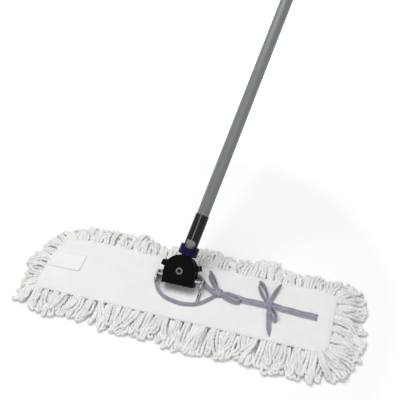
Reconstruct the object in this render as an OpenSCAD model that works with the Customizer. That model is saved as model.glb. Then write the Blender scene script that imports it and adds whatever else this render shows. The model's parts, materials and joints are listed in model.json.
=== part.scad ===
// Dust mop: a canvas pocket with a yarn fringe, on a wire frame, under a handle that tilts and swings.
// The frame lies along X, the front is -Y, and the origin is on the floor below the tilt axle.

/* [Cover] */
// Length of the canvas cover
cover_l = 600; // [480:10:900]
// Width of the canvas cover
cover_w = 152; // [144:1:190]
// Radius of the cover's corners
cover_r = 12; // [6:1:24]
// Thickness of the cover's canvas and of its side hem
cover_t = 1.2; // [0.8:0.1:2]
// Thickness of the base canvas below the wire frame
base_t = 1; // [0.6:0.1:2]
// Thickness of the yarn pile that sweeps the floor
pile_t = 12; // [8:1:20]
// How far the cover sits to the right on the wire frame
cover_shift_x = 18; // [0:1:30]
// How far the cover sits to the front on the wire frame
cover_shift_y = 14; // [4:1:18]
// Clear gap between a soft piece and its neighbour
lay_gap = 0.3; // [0.2:0.05:0.5]

/* [Fringe] */
// Length of the yarn loops beyond the cover's edge
fringe_l = 56; // [35:1:70]
// Spacing of the yarn loops along the edge
loop_pitch = 10; // [8:0.5:16]
// Share of the spacing that one loop fills
loop_fill = 0.72; // [0.5:0.02:0.8]
// Part of the fringe length that stays closed at its root
fringe_root = 0.4; // [0.2:0.05:0.6]
// How much shorter the shortest loop is than the longest
loop_spread = 9; // [0:0.5:14]
// Height of the fringe above the floor at its tips
tip_h = 5; // [3:0.5:8]

/* [Slit and tapes] */
// Gap between the left cross rod and the left end of the eye
eye_left_gap = 2; // [2:0.5:8]
// Gap between the right cross rod and the right end of the eye
eye_right_gap = 12; // [4:0.5:30]
// Gap between the eye and the cover's front edge
eye_front_gap = 46; // [38:1:50]
// Gap between the eye and the cover's rear edge
eye_rear_gap = 26; // [20:1:30]
// Radius of the eye's corners
eye_r = 28; // [10:1:36]
// Width of the tape that binds the eye
binding_w = 9; // [6:0.5:10]
// Width of the taped slit beside the eye
strip_w = 17; // [10:1:22]
// Thickness of the tapes
tape_t = 1.5; // [0.8:0.1:2]
// Gap between the slit's end and the cover's right edge
strip_end_gap = 30; // [15:1:60]
// Width of the ties that are knotted into bows
tie_w = 10; // [6:0.5:12]
// Distance along the taped slit to the inner bow's knot
inner_knot_at = 10; // [8:0.5:30]
// Distance back from the taped slit's end to the outer bow's knot
outer_knot_gap = 101; // [70:1:120]
// Size of a knot along the slit
knot_l = 13; // [8:1:16]
// Height of a knot
knot_h = 8; // [5:0.5:11]
// Half width of a bow's loop
loop_half_w = 8; // [6:0.5:10]
// Length of the inner bow's rear loop
inner_rear_loop_l = 44; // [30:1:48]
// Length of the inner bow's front loop
inner_front_loop_l = 40; // [30:1:60]
// Length of the outer bow's rear loop
outer_rear_loop_l = 50; // [30:1:60]
// Length of the outer bow's front loop
outer_front_loop_l = 44; // [30:1:60]
// Length of the outer bow's rear tail
rear_tail_l = 50; // [30:1:56]
// Length of the outer bow's front tail
front_tail_l = 66; // [30:1:80]

/* [Label] */
// Length of the blank sewn label
label_l = 70; // [40:1:90]
// Width of the blank sewn label
label_w = 44; // [20:1:60]
// Thickness of the label
label_t = 0.6; // [0.3:0.1:1]
// Gap between the label and the cover's left edge
label_edge_gap = 4; // [2:1:50]
// Gap between the label and the cover's rear edge
label_rear_gap = 49; // [10:1:70]

/* [Wire frame] */
// Diameter of the frame's wire
rod_d = 6; // [5:0.1:7]
// Free room between the frame and the cover's tight end
frame_end_room = 20; // [10:1:60]
// Free room between the frame and the cover's tight side
frame_side_room = 1.8; // [1:0.1:4]
// Bend radius of the frame's corners, at the wire's middle
frame_bend_r = 20; // [10:1:30]
// Length of the straight leg on each end bow
bow_leg = 30; // [10:1:60]
// Gap between the hinge block and a cross rod
cross_gap = 11; // [8:0.5:14]
// Half the width of a cross rod's arch, at the wire's middle
arch_half = 13; // [11:0.5:16]
// Bend radius of the cross rods, at the wire's middle
arch_bend_r = 6; // [4:0.25:7]
// Distance from the brace rod to the rear rod, between the wires' middles
brace_gap = 25; // [18:0.5:28]

/* [Hinge block] */
// Radius of the block's round top about the rivet
shell_r = 33; // [30:0.5:36]
// Half the depth of the block
shell_depth = 14; // [12:0.5:16]
// Height of the rivet above the axle
rivet_rise = 15; // [14.5:0.5:20]
// Depth of the block below the axle
block_drop = 13; // [10:0.5:15]
// Clear height between the turning block and the base canvas
block_floor_gap = 1.4; // [1:0.1:6]
// Radial clearance of the pins in their bores
pin_gap = 0.05; // [0.02:0.01:0.1]
// Angle of the stop lugs from the block's upright line
lug_angle = 72.5; // [72:0.5:76]
// Width of a stop lug
lug_w = 11; // [6:0.5:11.5]
// How far a stop lug stands out of the round top
lug_rise = 8; // [4:0.5:8.5]
// Radius of the rivet's shank
rivet_r = 5; // [4:0.1:6]
// Radius of the rivet's hollow
rivet_bore_r = 3; // [2:0.1:3.5]
// Depth of the rivet's hollow, from the front
rivet_bore_l = 6; // [3:0.5:12]
// Radius of the rivet's heads
rivet_head_r = 7; // [6.5:0.1:9]
// Thickness of the rivet's heads
rivet_head_t = 1.5; // [1:0.1:2.5]
// How deep a stop lug is rooted in the round top
lug_root = 2; // [1:0.5:4]
// Radius of the screws that close the block
screw_r = 1.5; // [1.2:0.1:1.7]
// Length of the screws, from the rear face
screw_l = 21; // [17:0.5:22]
// Radius of the screws' heads
screw_head_r = 2.8; // [2.4:0.1:3]
// Depth of the screws' heads in the rear shell
screw_head_t = 2.2; // [1.5:0.1:3]
// Distance of the screws from the middle
screw_x = 24; // [18:0.5:26]
// Wall left between a screw and the axle's bore
screw_wall = 1.2; // [1:0.1:1.5]

/* [Handle] */
// Thickness of the socket's tongue between the shells
tongue_t = 11; // [8:0.5:13]
// Clearance on each side of the tongue
tongue_gap = 0.2; // [0.1:0.05:0.4]
// Radius of the tongue's eye round the rivet
tongue_r = 9.5; // [8.5:0.1:9.8]
// Gap between the tongue's end and the floor of its slot
tongue_end_gap = 0.7; // [0.4:0.1:1]
// Gap between the block's round top and the collar
collar_gap = 1.3; // [1:0.1:3]
// Length of the lock collar
collar_l = 20; // [14:0.5:26]
// Outer radius of the lock collar
collar_r = 19.5; // [17.5:0.1:21]
// Depth of the step inside the collar that rests on the socket
collar_step = 2.7; // [2:0.1:5]
// Length of the split sleeve above the collar's rest
sleeve_l = 84; // [60:1:110]
// Wall of the split sleeve
sleeve_wall = 1.3; // [1:0.1:2]
// Width of the slit down the sleeve's front
sleeve_slit = 2.4; // [1:0.1:4]
// Width of the sleeve's window
window_w = 24; // [18:0.5:25]
// Height of the sleeve's window
window_h = 17; // [12:0.5:20]
// Distance from the collar's top to the middle of the window
window_rise = 3.5; // [0:0.5:8]
// Width of the ledge that the collar rests on
ledge_w = 1.6; // [1:0.1:2]
// Diameter of the handle's tube
tube_d = 25; // [22:0.5:28]
// Wall of the handle's tube
tube_wall = 0.9; // [0.7:0.1:1.5]
// Length of the handle's tube
tube_l = 1200; // [900:10:1400]
// Length of the grip at the top of the handle
grip_l = 110; // [80:5:160]
// Wall of the grip
grip_wall = 2; // [1.2:0.1:3]
// Thickness of the grip's closed end
grip_cap = 8; // [4:0.5:14]
// Length of the hanging eye above the grip
hang_l = 26; // [22:1:40]
// Width of the hanging eye
hang_w = 22; // [18:1:24]
// Thickness of the hanging eye
hang_t = 10; // [6:0.5:12]
// Radius of the hanging hole
hang_r = 4; // [3:0.1:6]

/* [Pose] */
// How far the handle leans back
tilt = 44.6; // [-60:0.1:60]
// How far the handle swings to the right
swing = 10.2; // [-30:0.1:30]

/* [Hidden] */
$fn = 64;
eps = 0.01;
// How far a cut reaches past the face it opens
over = 1;

// Heights of the stack, from the floor up
base_top = pile_t + base_t;
rod_r = rod_d / 2;
rod_z = base_top + lay_gap + rod_r;
cover_low = rod_z + rod_r + lay_gap;
cover_top = cover_low + cover_t;
tape_top = cover_top + tape_t;

// Places along the wire frame
frame_half_l = cover_l / 2 - cover_shift_x - cover_t - frame_end_room - rod_r;
frame_half_w = cover_w / 2 - cover_shift_y - cover_t - frame_side_room - rod_r;
cross_x = shell_r + cross_gap + rod_r;
side_rod_half = frame_half_l - frame_bend_r - bow_leg;
brace_y = frame_half_w - brace_gap;

// The hinge
axle_r = rod_r;
axle_z = round(10 * (base_top + norm([shell_depth, block_drop]) + block_floor_gap)) / 10;
slot_half = tongue_t / 2 + tongue_gap;
slot_floor = rivet_rise - tongue_r - tongue_end_gap;
block_low = -block_drop;
screw_z = -(axle_r + 2 * pin_gap + screw_wall + screw_r);

// Heights along the handle, from the rivet
collar_low = shell_r + collar_gap;
ledge_z = collar_low + collar_step;
sleeve_r = tube_d / 2 + pin_gap + sleeve_wall;
ledge_r = sleeve_r + ledge_w;
sleeve_top = ledge_z + sleeve_l;
tube_low = collar_low + collar_l / 2;
tube_top = tube_low + tube_l;
window_z = collar_low + collar_l + window_rise;
grip_r = tube_d / 2 + pin_gap + grip_wall;
grip_low = tube_top - grip_l + grip_cap;
grip_top = grip_low + grip_l;

// The eye of the slit, in plan
eye_left = -(cross_x + rod_r + eye_left_gap);
eye_right = cross_x + rod_r + eye_right_gap;
eye_front = cover_w / 2 + cover_shift_y - eye_front_gap;
eye_rear = cover_w / 2 - cover_shift_y - eye_rear_gap;
eye_mid = [(eye_left + eye_right) / 2, (eye_rear - eye_front) / 2];
eye_size = [eye_right - eye_left, eye_front + eye_rear];
eye_corner_r = min(eye_r, eye_size.y / 2 - lay_gap);
strip_low_x = eye_right + binding_w + lay_gap;
strip_high_x = cover_shift_x + cover_l / 2 - strip_end_gap;

// Seed of the loops' lengths
fringe_seed = 11;
// Fall of the fringe: share of its length, and share of the cover's height there
drape_root = [0.2, 0.97];
drape_mid = [0.5, 0.62];
// Start of its level tip: share of its length, and share of the tip's height there
drape_tip = [0.8, 1.25];

// A drop-shaped loop: points round it, and the factor that gives it its full width
drop_steps = 36;
drop_fullness = 1.3;
// Distance from a knot's middle to where its loops start
loop_start = knot_l / 4;
// Loops and tails of the bows: angle in plan and length
inner_loops = [[122, inner_rear_loop_l], [-34, inner_front_loop_l]];
outer_loops = [[126, outer_rear_loop_l], [-58, outer_front_loop_l]];
outer_tails = [[74, rear_tail_l], [-80, front_tail_l]];

canvas_white = [0.94, 0.94, 0.93];
yarn_white = [0.87, 0.87, 0.85];
tape_grey = [0.6, 0.59, 0.64];
joint_black = [0.07, 0.07, 0.08];
collar_blue = [0.11, 0.11, 0.27];
tube_grey = [0.47, 0.49, 0.48];
label_white = [0.95, 0.95, 0.94];

// Puts children in the cover's own plan, with its middle at the origin
module on_cover() translate([cover_shift_x, -cover_shift_y, 0]) children();

// Puts children in the tilting block, with the axle at the origin
module on_hinge() translate([0, 0, axle_z]) rotate([-tilt, 0, 0]) children();

// Puts children on the swinging handle, with the rivet at the origin
module on_handle() on_hinge() translate([0, 0, rivet_rise]) rotate([0, swing, 0]) children();

// Flat rectangle with round corners, about the origin
module rounded_rect(size, r) {
    square([size.x - 2 * r, size.y], center = true);
    square([size.x, size.y - 2 * r], center = true);
    for (i = [-1, 1], j = [-1, 1])
        translate([i * (size.x / 2 - r), j * (size.y / 2 - r)]) circle(r = r);
}

// Outline of the cover, grown by a margin
module cover_outline(grow = 0) {
    rounded_rect([cover_l + 2 * grow, cover_w + 2 * grow], cover_r + grow);
}

// Outline of the eye, grown by a margin
module eye_outline(grow = 0) {
    translate(eye_mid) rounded_rect(eye_size + 2 * [grow, grow], eye_corner_r + grow);
}

// Round wire along a flat path in XY, with round bends at the inner points
module bent_wire(path, d, bend_r) {
    last = len(path) - 1;
    angles = [for (i = [0:last - 1]) atan2(path[i + 1].y - path[i].y, path[i + 1].x - path[i].x)];
    turns = [for (i = [1:last - 1]) (angles[i] - angles[i - 1] + 540) % 360 - 180];
    trims = concat([0], [for (t = turns) bend_r * tan(abs(t) / 2)], [0]);
    for (i = [0:last - 1]) {
        run = norm(path[i + 1] - path[i]) - trims[i] - trims[i + 1];
        translate(path[i]) rotate([0, 0, angles[i]]) translate([trims[i], 0, 0]) rotate([0, 90, 0])
            cylinder(d = d, h = run);
    }
    for (i = [1:last - 1]) {
        side = sign(turns[i - 1]);
        from = side > 0 ? -90 : 90 + turns[i - 1];
        translate(path[i]) rotate([0, 0, angles[i - 1]]) translate([-trims[i], side * bend_r, 0])
            rotate([0, 0, from]) rotate_extrude(angle = abs(turns[i - 1]))
                translate([bend_r, 0]) circle(d = d);
    }
}

// D-shaped plate of the block, in XZ about the axle, from depth low to high
module block_plate(low, high) {
    translate([0, high, 0]) rotate([90, 0, 0]) linear_extrude(high - low) {
        intersection() {
            translate([0, rivet_rise]) circle(r = shell_r);
            translate([-shell_r, rivet_rise]) square(2 * shell_r);
        }
        translate([-shell_r, block_low]) square([2 * shell_r, rivet_rise - block_low]);
    }
}

// One half of the block: side -1 is the front shell and side 1 the rear one
module half_shell(side) {
    low = min(side * slot_half, side * shell_depth);
    high = max(side * slot_half, side * shell_depth);
    difference() {
        union() {
            block_plate(low, high);
            translate([-shell_r, min(0, side * shell_depth), block_low])
                cube([2 * shell_r, shell_depth, slot_floor - block_low]);
        }
        rotate([0, 90, 0]) cylinder(r = axle_r + pin_gap, h = 2 * (shell_r + over), center = true);
        translate([0, 0, rivet_rise]) rotate([90, 0, 0])
            cylinder(r = rivet_r + pin_gap, h = 2 * (shell_depth + over), center = true);
        screw_places() screw_cut(side);
    }
}

// The two places of the screws that close the block
module screw_places() {
    for (i = [-1, 1]) translate([i * screw_x, 0, screw_z]) rotate([90, 0, 0]) children();
}

// Hole for one screw: through the rear shell with a seat for the head, blind in the front shell
module screw_cut(side) {
    translate([0, 0, -shell_depth - eps]) cylinder(r = screw_r + pin_gap, h = screw_l + 2 * eps);
    if (side > 0) translate([0, 0, -shell_depth - eps])
        cylinder(r = screw_head_r + pin_gap, h = screw_head_t + eps);
}

module front_shell() {
    color(joint_black) on_hinge() {
        half_shell(-1);
        stop_lugs(-shell_depth);
    }
}

module rear_shell() {
    color(joint_black) on_hinge() {
        half_shell(1);
        stop_lugs(slot_half);
    }
}

// Lugs on a shell's rim that stop the collar at both ends of the swing, with their front faces at Y front
module stop_lugs(front) {
    for (side = [-1, 1]) translate([0, front, rivet_rise]) rotate([0, side * lug_angle, 0])
        translate([-lug_w / 2, 0, shell_r - lug_root])
            cube([lug_w, shell_depth - slot_half, lug_rise + lug_root]);
}

module pivot_rivet() {
    color("silver") on_hinge() translate([0, 0, rivet_rise]) rotate([90, 0, 0]) difference() {
        union() {
            cylinder(r = rivet_r, h = 2 * shell_depth, center = true);
            for (side = [-1, 1]) translate([0, 0, side * (shell_depth + rivet_head_t / 2)])
                cylinder(r = rivet_head_r, h = rivet_head_t, center = true);
        }
        translate([0, 0, shell_depth + rivet_head_t - rivet_bore_l])
            cylinder(r = rivet_bore_r, h = rivet_bore_l + over);
    }
}

module shell_screws() {
    color("silver") on_hinge() screw_places() translate([0, 0, -shell_depth]) {
        cylinder(r = screw_r, h = screw_l);
        cylinder(r = screw_head_r, h = screw_head_t);
    }
}

module swivel_socket() {
    color(joint_black) on_handle() difference() {
        union() {
            rotate([90, 0, 0]) cylinder(r = tongue_r, h = tongue_t, center = true);
            translate([-tongue_r, -tongue_t / 2, 0]) cube([2 * tongue_r, tongue_t, ledge_z]);
            translate([0, 0, collar_low + lay_gap]) cylinder(r = ledge_r, h = collar_step - lay_gap);
            translate([0, 0, ledge_z - eps]) cylinder(r = sleeve_r, h = sleeve_top - ledge_z + eps);
        }
        translate([0, 0, tube_low]) cylinder(d = tube_d + 2 * pin_gap, h = tube_l);
        rotate([90, 0, 0]) cylinder(r = rivet_r + pin_gap, h = tongue_t + 2 * over, center = true);
        translate([-sleeve_slit / 2, -sleeve_r - over, window_z])
            cube([sleeve_slit, sleeve_r + over, sleeve_l]);
        translate([0, 0, window_z]) window_cut();
    }
}

// Oval cut through the front wall of the sleeve or of the collar
module window_cut() {
    rotate([90, 0, 0]) linear_extrude(collar_r + over)
        rounded_rect([window_w, window_h], window_h / 2 - lay_gap);
}

module lock_collar() {
    color(collar_blue) on_handle() difference() {
        translate([0, 0, collar_low]) cylinder(r = collar_r, h = collar_l);
        translate([0, 0, collar_low - over]) cylinder(r = sleeve_r + 2 * pin_gap, h = collar_l + 2 * over);
        translate([0, 0, collar_low - over]) cylinder(r = ledge_r + lay_gap, h = collar_step + over);
        translate([0, 0, window_z]) window_cut();
    }
}

module handle_tube() {
    color(tube_grey) on_handle() translate([0, 0, tube_low]) difference() {
        cylinder(d = tube_d, h = tube_l);
        translate([0, 0, -over]) cylinder(d = tube_d - 2 * tube_wall, h = tube_l + 2 * over);
    }
}

module handle_grip() {
    color(joint_black) on_handle() difference() {
        union() {
            translate([0, 0, grip_low]) cylinder(r = grip_r, h = grip_l);
            translate([-hang_w / 2, -hang_t / 2, grip_top - eps])
                cube([hang_w, hang_t, hang_l - hang_w / 2]);
            translate([0, 0, grip_top + hang_l - hang_w / 2]) rotate([90, 0, 0])
                cylinder(d = hang_w, h = hang_t, center = true);
        }
        translate([0, 0, grip_low - over])
            cylinder(d = tube_d + 2 * pin_gap, h = grip_l - grip_cap + over);
        translate([0, 0, grip_top + hang_l - hang_w / 2]) rotate([90, 0, 0])
            cylinder(r = hang_r, h = hang_t + 2 * over, center = true);
    }
}

// Straight side of the wire frame: side -1 is the front rod and side 1 the rear one
module side_rod(side) {
    translate([0, side * frame_half_w, rod_z]) rotate([0, 90, 0])
        cylinder(d = rod_d, h = 2 * side_rod_half, center = true);
}

// Round end of the wire frame, on the right for side 1
module end_bow(side) {
    path = [
        [side_rod_half, -frame_half_w],
        [frame_half_l, -frame_half_w],
        [frame_half_l, frame_half_w],
        [side_rod_half, frame_half_w]
    ];
    translate([0, 0, rod_z]) mirror([side > 0 ? 0 : 1, 0, 0]) bent_wire(path, rod_d, frame_bend_r);
}

// Cross rod with the arch that carries the axle
module cross_rod(side) {
    path = [
        [-frame_half_w, rod_z],
        [-arch_half, rod_z],
        [-arch_half, axle_z],
        [arch_half, axle_z],
        [arch_half, rod_z],
        [frame_half_w, rod_z]
    ];
    translate([side * cross_x, 0, 0]) rotate([90, 0, 90]) bent_wire(path, rod_d, arch_bend_r);
}

module front_rod() {
    color("silver") side_rod(-1);
}

module rear_rod() {
    color("silver") side_rod(1);
}

module left_end_bow() {
    color("silver") end_bow(-1);
}

module right_end_bow() {
    color("silver") end_bow(1);
}

module left_cross_rod() {
    color("silver") cross_rod(-1);
}

module right_cross_rod() {
    color("silver") cross_rod(1);
}

module pivot_axle() {
    color("silver") translate([0, 0, axle_z]) rotate([0, 90, 0])
        cylinder(r = axle_r, h = 2 * cross_x, center = true);
}

module brace_rod() {
    color("silver") translate([0, brace_y, rod_z]) rotate([0, 90, 0])
        cylinder(d = rod_d, h = 2 * cross_x, center = true);
}

module yarn_pile() {
    color(yarn_white) on_cover() linear_extrude(pile_t) cover_outline();
}

module base_canvas() {
    color(canvas_white) on_cover() translate([0, 0, pile_t]) linear_extrude(base_t) cover_outline();
}

module cover_canvas() {
    color(canvas_white) {
        translate([0, 0, cover_low]) linear_extrude(cover_t) difference() {
            on_cover() cover_outline();
            eye_outline();
        }
        on_cover() translate([0, 0, base_top]) linear_extrude(cover_low - base_top) difference() {
            cover_outline();
            cover_outline(-cover_t);
        }
    }
}

// Side view of the fringe: outwards along X, up along Y
function drape_profile() = [
    [0, 0],
    [0, cover_top],
    [fringe_l * drape_root.x, cover_top * drape_root.y],
    [fringe_l * drape_mid.x, cover_top * drape_mid.y],
    [fringe_l * drape_tip.x, tip_h * drape_tip.y],
    [fringe_l, tip_h],
    [fringe_l, 0]
];

// Corners of one loop's tip, about its middle and out from the edge
function loop_corners(mid, half, reach) = [
    [mid - half, reach - half],
    [mid - half / 2, reach],
    [mid + half / 2, reach],
    [mid + half, reach - half]
];

// Reaches of n loops, the same for the same seed
function loop_reaches(n, seed) = [for (r = rands(0, 1, n, seed)) fringe_l - loop_spread * r];

// Straight comb of loops along X, with the root at Y 0
module loop_comb(length, seed) {
    n = floor(length / loop_pitch);
    pitch = length / n;
    reaches = loop_reaches(n, seed);
    valley = fringe_l * fringe_root;
    edge = [for (i = [0:n - 1]) each concat(
        [[i * pitch, valley]],
        loop_corners((i + 0.5) * pitch, pitch * loop_fill / 2, reaches[i])
    )];
    translate([-length / 2, 0]) polygon(concat([[0, 0]], edge, [[length, valley], [length, 0]]));
}

// Straight run of fringe along X with its root at Y 0
module fringe_run(length, seed) {
    intersection() {
        linear_extrude(cover_top) loop_comb(length, seed);
        rotate([90, 0, 90]) translate([0, 0, -length / 2]) linear_extrude(length) polygon(drape_profile());
    }
}

// Quarter fan of loops round a corner of the cover, from the X axis to the Y axis
module fringe_fan(seed) {
    inner = cover_r + lay_gap;
    n = floor((inner + fringe_l / 2) * PI / 2 / loop_pitch);
    pitch = 90 / n;
    reaches = loop_reaches(n, seed);
    valley = inner + fringe_l * fringe_root;
    half = pitch * loop_fill / 2;
    arc = [for (i = [0:n - 1]) each [
        [i * pitch, valley],
        [(i + 0.5) * pitch - half, inner + reaches[i] - loop_pitch / 2],
        [(i + 0.5) * pitch - half / 2, inner + reaches[i]],
        [(i + 0.5) * pitch + half / 2, inner + reaches[i]],
        [(i + 0.5) * pitch + half, inner + reaches[i] - loop_pitch / 2]
    ]];
    rim = concat(arc, [[90, valley]]);
    intersection() {
        linear_extrude(cover_top)
            polygon(concat([[0, 0]], [for (p = rim) p.y * [cos(p.x), sin(p.x)]]));
        rotate_extrude(angle = 90) translate([inner, 0]) polygon(drape_profile());
    }
}

module fringe_front() {
    color(yarn_white) on_cover() translate([0, -cover_w / 2 - lay_gap, 0]) rotate([0, 0, 180])
        fringe_run(cover_l - 2 * cover_r, fringe_seed);
}

module fringe_rear() {
    color(yarn_white) on_cover() translate([0, cover_w / 2 + lay_gap, 0])
        fringe_run(cover_l - 2 * cover_r, fringe_seed + 1);
}

module fringe_left() {
    color(yarn_white) on_cover() translate([-cover_l / 2 - lay_gap, 0, 0]) rotate([0, 0, 90])
        fringe_run(cover_w - 2 * cover_r, fringe_seed + 2);
}

module fringe_right() {
    color(yarn_white) on_cover() translate([cover_l / 2 + lay_gap, 0, 0]) rotate([0, 0, -90])
        fringe_run(cover_w - 2 * cover_r, fringe_seed + 3);
}

module fringe_corners() {
    color(yarn_white) on_cover() for (i = [0:3])
        translate([(i == 0 || i == 3 ? 1 : -1) * (cover_l / 2 - cover_r),
                   (i < 2 ? 1 : -1) * (cover_w / 2 - cover_r), 0])
            rotate([0, 0, 90 * i]) fringe_fan(fringe_seed + 4 + i);
}

// Half of the tape round the eye: side -1 is its front half and side 1 its rear half
module binding_half(side) {
    reach = eye_size + 4 * [binding_w, binding_w];
    translate([0, 0, cover_top]) linear_extrude(tape_t) intersection() {
        difference() {
            eye_outline(binding_w);
            eye_outline();
        }
        translate(eye_mid + [-reach.x / 2, side > 0 ? 0 : -reach.y]) square(reach);
    }
}

module binding_front() {
    color(tape_grey) binding_half(-1);
}

module binding_rear() {
    color(tape_grey) binding_half(1);
}

module slit_strip() {
    color(tape_grey) translate([strip_low_x, eye_mid.y - strip_w / 2, cover_top])
        cube([strip_high_x - strip_low_x, strip_w, tape_t]);
}

// Flat drop with its point at the origin and its round end out along X
function drop_points(length, half_w) = [for (i = [0:drop_steps - 1]) let (t = 360 * i / drop_steps)
    [length * (1 - cos(t)) / 2, half_w * drop_fullness * sin(t) * sin(t / 2)]];

// Loop of tie tape on its edge, a drop shape that runs out along X from the knot
module tie_loop(length) {
    translate([loop_start, 0, 0]) linear_extrude(tie_w) difference() {
        polygon(drop_points(length - loop_start, loop_half_w));
        translate([2 * tape_t, 0])
            polygon(drop_points(length - loop_start - 3 * tape_t, loop_half_w - tape_t));
    }
}

// Flat end of a tie that runs out along X from the knot
module tie_tail(length) {
    translate([0, -tie_w / 2, 0]) cube([length, tie_w, tape_t]);
}

// Knot on the taped slit, with its loops and tails
module bow(knot_x, loops, tails) {
    translate([knot_x, eye_mid.y, tape_top]) {
        translate([-knot_l / 2, -strip_w / 2, 0]) cube([knot_l, strip_w, knot_h]);
        for (l = loops) rotate([0, 0, l[0]]) tie_loop(l[1]);
        for (t = tails) rotate([0, 0, t[0]]) tie_tail(t[1]);
    }
}

module inner_bow() {
    color(tape_grey) bow(strip_low_x + inner_knot_at, inner_loops, []);
}

module outer_bow() {
    color(tape_grey) bow(strip_high_x - outer_knot_gap, outer_loops, outer_tails);
}

module label_patch() {
    color(label_white) on_cover()
        translate([-cover_l / 2 + label_edge_gap, cover_w / 2 - label_rear_gap - label_w, cover_top])
            cube([label_l, label_w, label_t]);
}

front_shell();
rear_shell();
pivot_rivet();
shell_screws();
swivel_socket();
lock_collar();
handle_tube();
handle_grip();
front_rod();
rear_rod();
left_end_bow();
right_end_bow();
left_cross_rod();
right_cross_rod();
pivot_axle();
brace_rod();
yarn_pile();
base_canvas();
cover_canvas();
fringe_front();
fringe_rear();
fringe_left();
fringe_right();
fringe_corners();
binding_front();
binding_rear();
slit_strip();
inner_bow();
outer_bow();
label_patch();
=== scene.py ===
"""Dresses the dust mop's frame: canvas pocket, yarn fringe, tapes, bows, label and finishes."""

import json
import math
from types import SimpleNamespace

import bmesh
import bpy
import numpy as np
from bpy.props import FloatProperty, FloatVectorProperty, IntProperty, PointerProperty
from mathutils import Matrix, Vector, geometry


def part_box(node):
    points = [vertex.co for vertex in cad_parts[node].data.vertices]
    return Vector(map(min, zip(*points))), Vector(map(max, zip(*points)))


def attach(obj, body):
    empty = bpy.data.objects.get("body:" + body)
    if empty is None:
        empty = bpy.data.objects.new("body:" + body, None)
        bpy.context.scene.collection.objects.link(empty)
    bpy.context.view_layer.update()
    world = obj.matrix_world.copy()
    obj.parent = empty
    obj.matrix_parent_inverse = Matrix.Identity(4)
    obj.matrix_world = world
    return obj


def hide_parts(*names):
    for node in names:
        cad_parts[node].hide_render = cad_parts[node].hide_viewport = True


bl_info = {
    "name": "Dust Mop Dresser",
    "version": (1, 0, 0),
    "blender": (4, 5, 0),
    "location": "3D View > Sidebar > Dust Mop",
    "description": "Builds the cloth, yarn and finishes of a dust mop around its frame",
    "category": "Object",
}

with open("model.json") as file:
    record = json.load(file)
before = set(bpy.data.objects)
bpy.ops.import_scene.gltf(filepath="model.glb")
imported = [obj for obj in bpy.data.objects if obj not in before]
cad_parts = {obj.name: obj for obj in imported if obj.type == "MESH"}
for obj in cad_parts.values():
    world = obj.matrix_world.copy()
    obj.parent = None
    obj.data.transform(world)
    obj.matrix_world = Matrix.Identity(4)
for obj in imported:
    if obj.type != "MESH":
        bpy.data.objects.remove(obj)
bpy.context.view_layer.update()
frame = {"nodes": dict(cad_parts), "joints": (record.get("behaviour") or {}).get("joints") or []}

MM = 0.001
UP = (0, 0, 1)
HEAD = "mop_head"
COVER_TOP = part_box("cover_canvas")[1].z
BASE_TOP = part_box("base_canvas")[1].z
LABEL_LOW, LABEL_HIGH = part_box("label_patch")
JOINTS = {joint["name"]: joint for joint in frame["joints"]}
HANDLE_AXIS = Vector(JOINTS["collar_slide"]["axis"])
RIVET_AXIS = Vector(JOINTS["handle_swing"]["axis"])
RIVET_MIDDLE = Vector(JOINTS["handle_swing"]["pos_m"])

# Edge of the cover in plan, and the reach of the yarn beyond it, in millimetres, from the front left corner
COVER_LINE = [
    (-268, -90, 42), (-200, -91, 45), (-100, -90, 48), (0, -91, 53), (70, -91, 57), (140, -91, 51),
    (200, -91, 53), (250, -90, 58), (290, -90, 57), (308, -87, 54), (316, -76, 53), (317, -40, 57),
    (316, 10, 59), (317, 42, 52), (313, 55, 42), (300, 61, 36), (270, 63, 35), (224, 63, 41),
    (185, 62, 43), (150, 61, 44), (97, 61, 43), (40, 61, 46), (-20, 61, 42), (-73, 62, 36),
    (-114, 62, 45), (-146, 64, 44), (-177, 64, 42), (-210, 62, 46), (-240, 61, 40), (-262, 54, 34),
    (-276, 40, 34), (-282, 20, 36), (-285, -8, 38), (-285, -45, 38), (-284, -70, 37), (-279, -84, 40),
]
# Middle of the tape round the eye, in plan and in millimetres, from the inner knot clockwise
EYE_LINE = [
    (82, -14), (75, -23), (68, -31), (57, -42), (42, -50), (22, -54), (2, -52), (-18, -46), (-35, -32),
    (-45, -15), (-48, 0), (-46, 15), (-29, 27.5), (0, 31.5), (25, 28.5), (42, 19.5), (51, 9.5), (59, 4),
    (69, -3), (80, -8),
]
# Middle of the closed slit, in plan and in millimetres, from the eye to its outer end
SLIT_LINE = [(74, -7), (88, -8), (125, -9), (175, -10), (211, -9), (248, -11), (268, -13), (283, -13)]

# Soft waves over the plan: length in metres, angle and phase of each
COVER_WAVES = [(0.31, 0.2, 0.4), (0.19, 1.3, 2.1), (0.115, 2.5, 0.9), (0.074, 0.7, 4.0)]
REACH_WAVES = [(0.145, 0.3, 1.0), (0.083, 0.9, 2.2), (0.052, 2.2, 0.3)]
SWAY_WAVES = [(0.117, 0.5, 4.0), (0.071, 1.1, 0.6), (0.044, 2.7, 1.9)]

# Widths of the woven threads
CANVAS_THREAD = 0.0014
LABEL_THREAD = 0.0006
SEWING_THREAD = 0.0004


def number(name, description, default, **kind):
    """A value that a user can change."""
    return FloatProperty(name=name, description=description, default=default, **kind)


def length(name, description, default):
    """A size in metres that a user can change."""
    return number(name, description, default, min=0.0, precision=4, unit="LENGTH")


def point(name, description, default):
    """A place in metres that a user can change."""
    return FloatVectorProperty(
        name=name, description=description, default=default, subtype="XYZ", unit="LENGTH"
    )


def colour(name, description, default):
    """A surface colour that a user can change."""
    return FloatVectorProperty(
        name=name, description=description, default=default, size=3, min=0.0, max=1.0, subtype="COLOR"
    )


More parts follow.
